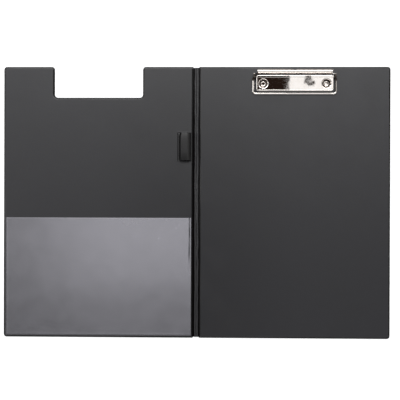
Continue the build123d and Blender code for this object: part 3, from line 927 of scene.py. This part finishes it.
def torsion_spring(start_x):
    """A spring's wire as a closed tube round its middle line: a helix about the pin, y and z going
    round a circle while x grows evenly, and a straight leg at each end that goes on along the
    helix's heading there."""
    turn = np.radians(np.linspace(0, SPRING_TURN, 217))
    rate = SPRING_PITCH / (2 * np.pi)
    y, z = SPRING_RADIUS * np.sin(turn), SPRING_RADIUS * np.cos(turn)
    helix = np.stack([start_x + rate * turn, PIN_Y + y, PIN_Z + z], -1)
    heading = np.stack([np.full_like(turn, rate), z, -y], -1)
    heading /= np.linalg.norm(heading, axis=1)[:, None]
    ends = helix[0] - SPRING_LEGS[0] * heading[0], helix[-1] + SPRING_LEGS[1] * heading[-1]
    path = np.concatenate([ends[:1], helix, ends[1:]])
    heading = np.concatenate([heading[:1], heading, heading[-1:]])
    across = np.cross(heading, (1.0, 0.0, 0.0))
    across /= np.linalg.norm(across, axis=1)[:, None]
    outward = np.cross(across, heading)
    number = np.arange(SPRING_SIDES)
    angle = np.radians(number * 360 / SPRING_SIDES)[None, :, None]
    spoke = np.cos(angle) * across[:, None] + np.sin(angle) * outward[:, None]
    tube = path[:, None] + SPRING_WIRE / 2 * spoke
    after = np.roll(number, -1)
    count = SPRING_SIDES * len(path)
    last = count - SPRING_SIDES
    front = np.stack([np.full(SPRING_SIDES, count), after, number], -1)
    back = np.stack([np.full(SPRING_SIDES, count + 1), last + number, last + after], -1)
    points = np.concatenate([tube.reshape(-1, 3), path[[0, -1]]])
    return points, [quads(len(path), SPRING_SIDES, loop=True), front, back]


for name, middle_x in zip(("left", "right"), SPRING_X):
    start_x = middle_x - SPRING_LENGTH / 2
    points, faces = torsion_spring(start_x)
    wire = add_piece(f"{name}_spring_wire", points, faces, steel)
    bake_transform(wire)
    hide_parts(f"{name}_spring")


# Metal and board, whose CAD nodes are shown


def finish_node(node, material):
    """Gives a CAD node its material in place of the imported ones."""
    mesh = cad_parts[node].data
    mesh.materials.clear()
    mesh.materials.append(material)


for node, material in (
    ("clip_plate", plate_nickel_shaded_cups),
    ("clip_jaw", jaw_nickel_shaded_eyes),
    ("clip_rivets", rivet_nickel),
    ("clip_pin", pin_steel),
    ("back_board", greyboard),
    ("cover_board", greyboard),
):
    finish_node(node, material)


# Camera, as the photograph was taken: 1 m above the table and nearly straight down

FOCAL_PIXELS = 843.44
FRAME_PIXELS = 400
SENSOR_WIDTH = 36.0
CAMERA_DISTANCE = 1.0
camera_turn = Euler(np.radians([-0.195, 1.257, 0.175]).tolist(), "XYZ").to_matrix()
camera_target = Vector((4.631 * MM, 2.819 * MM, 0.0))
camera_place = camera_target + camera_turn @ Vector((0, 0, CAMERA_DISTANCE))
camera_data = bpy.data.cameras.new("camera")
camera_data.sensor_width = SENSOR_WIDTH
camera_data.lens = FOCAL_PIXELS * SENSOR_WIDTH / FRAME_PIXELS
camera = bpy.data.objects.new("camera", camera_data)
camera.matrix_world = Matrix.Translation(camera_place) @ camera_turn.to_4x4()
bpy.context.scene.collection.objects.link(camera)
bpy.context.scene.camera = camera


# Floor, studio and lights

FLOOR_HALF = 6.0
FLOOR_HEIGHT = -0.0001
CEILING = (1.5, 1.5)
UNDER_CEILING = (1.49, 1.49)
WINDOW_LEFT = 0.232
WINDOW_RIGHT = 0.47
WINDOW_FRONT = 0.26


def seen_directly(tree):
    """1 for rays from the camera, from gloss and through glass, and 0 for the light on the object."""
    path = add_node(tree, "ShaderNodeLightPath").outputs
    either = add_node(
        tree, "ShaderNodeMath", {0: path["Is Camera Ray"], 1: path["Is Glossy Ray"]}, operation="MAXIMUM"
    )
    return add_node(
        tree, "ShaderNodeMath", {0: either.outputs[0], 1: path["Is Transmission Ray"]}, operation="MAXIMUM"
    ).outputs[0]


def flat_card(name, x_range, y_range, z_range, material):
    """A four-cornered card, in metres: level where z_range is one height, and upright across x or
    y where that range is one place."""
    (x0, x1), (y0, y1), (z0, z1) = x_range, y_range, z_range
    if z0 == z1:
        corners = [(x0, y0, z0), (x1, y0, z0), (x1, y1, z0), (x0, y1, z0)]
    else:
        corners = [(x0, y0, z0), (x1, y1, z0), (x1, y1, z1), (x0, y0, z1)]
    mesh = bpy.data.meshes.new(name)
    mesh.from_pydata(corners, [], [(0, 1, 2, 3)])
    mesh.materials.append(material)
    card = bpy.data.objects.new(name, mesh)
    bpy.context.scene.collection.objects.link(card)
    return card


def white_paper(name):
    """The floor's paper: plain to the light that falls on the object, paler to the eye and in
    reflections, so that it shows an even white, and clear from below."""
    material = bpy.data.materials.new(name)
    tree = empty_tree(material)
    paper = add_node(tree, "ShaderNodeBsdfDiffuse", {"Color": linear("#ececec")})
    lift = add_node(tree, "ShaderNodeEmission", {"Color": linear("#b4b4b4")})
    pale = add_node(tree, "ShaderNodeAddShader", {0: paper.outputs[0], 1: lift.outputs[0]})
    above = add_node(
        tree, "ShaderNodeMixShader", {0: seen_directly(tree), 1: paper.outputs[0], 2: pale.outputs[0]}
    )
    under = add_node(tree, "ShaderNodeNewGeometry").outputs["Backfacing"]
    clear = add_node(tree, "ShaderNodeBsdfTransparent")
    surface = add_node(tree, "ShaderNodeMixShader", {0: under, 1: above.outputs[0], 2: clear.outputs[0]})
    add_node(tree, "ShaderNodeOutputMaterial", {"Surface": surface.outputs[0]})
    return material


floor = flat_card(
    "floor",
    (-FLOOR_HALF, FLOOR_HALF),
    (-FLOOR_HALF, FLOOR_HALF),
    (FLOOR_HEIGHT, FLOOR_HEIGHT),
    white_paper("floor_white_paper"),
)


def studio_card(name, code, x_range, y_range, z_range, strength=1.0):
    """A flat card of an even tone that only reflections show."""
    material = bpy.data.materials.new(name)
    tree = empty_tree(material)
    tone = add_node(tree, "ShaderNodeEmission", {"Color": linear(code), "Strength": strength})
    add_node(tree, "ShaderNodeOutputMaterial", {"Surface": tone.outputs[0]})
    card = flat_card(name, x_range, y_range, z_range, material)
    card.visible_camera = card.visible_diffuse = card.visible_shadow = card.visible_transmission = False


studio_card("ceiling_left", "#241a15", (-1.1, WINDOW_LEFT), (-0.8, 0.43), CEILING)
studio_card("ceiling_right", "#2c2826", (WINDOW_LEFT, 1.1), (-0.8, WINDOW_FRONT), CEILING)
studio_card("window_right", "#ffffff", (WINDOW_LEFT, WINDOW_RIGHT), (WINDOW_FRONT, 0.9), CEILING, 1.1)
studio_card("sash_upright", "#241a15", (0.281, 0.289), (0.335, 0.366), UNDER_CEILING)
studio_card("sash_foot", "#241a15", (0.289, 0.305), (0.335, 0.346), UNDER_CEILING)
studio_card("ceiling_far_right", "#2c2826", (WINDOW_RIGHT, 1.1), (WINDOW_FRONT, 0.75), CEILING)
studio_card("wall_left", "#c9c6c3", (-1.5, -1.5), (-1.5, 1.6), (0.0, 1.5))
studio_card("wall_right", "#a8a5a2", (1.5, 1.5), (-1.5, 1.6), (0.0, 1.5))
studio_card("wall_back", "#989694", (-1.5, 1.5), (1.6, 1.6), (0.0, 2.1))

world = bpy.data.worlds.new("studio")
bpy.context.scene.world = world
world_tree = empty_tree(world)
shown = add_node(world_tree, "ShaderNodeBackground", {"Color": linear("#ffffff"), "Strength": 1.0})
ambient = add_node(world_tree, "ShaderNodeBackground", {"Color": linear("#f4f6fa"), "Strength": 0.30})
both = add_node(
    world_tree,
    "ShaderNodeMixShader",
    {0: seen_directly(world_tree), 1: ambient.outputs[0], 2: shown.outputs[0]},
)
add_node(world_tree, "ShaderNodeOutputWorld", {"Surface": both.outputs[0]})


def softbox(name, place, target, width, height, power):
    """A rectangular area lamp at a place, turned to a target, in metres and watts."""
    lamp = bpy.data.lights.new(name, "AREA")
    lamp.shape = "RECTANGLE"
    lamp.size, lamp.size_y = width, height
    lamp.energy = power
    box = bpy.data.objects.new(name, lamp)
    box.location = place
    box.rotation_euler = (Vector(target) - Vector(place)).to_track_quat("-Z", "Y").to_euler()
    bpy.context.scene.collection.objects.link(box)


softbox("softbox_back", (0.12, 0.95, 1.4), (0, 0, 0), 1.7, 0.7, 22.5)
softbox("softbox_left", (-1.25, 0.2, 0.9), (0, 0, 0), 0.5, 0.9, 4)

bpy.context.scene.view_settings.view_transform = "Standard"
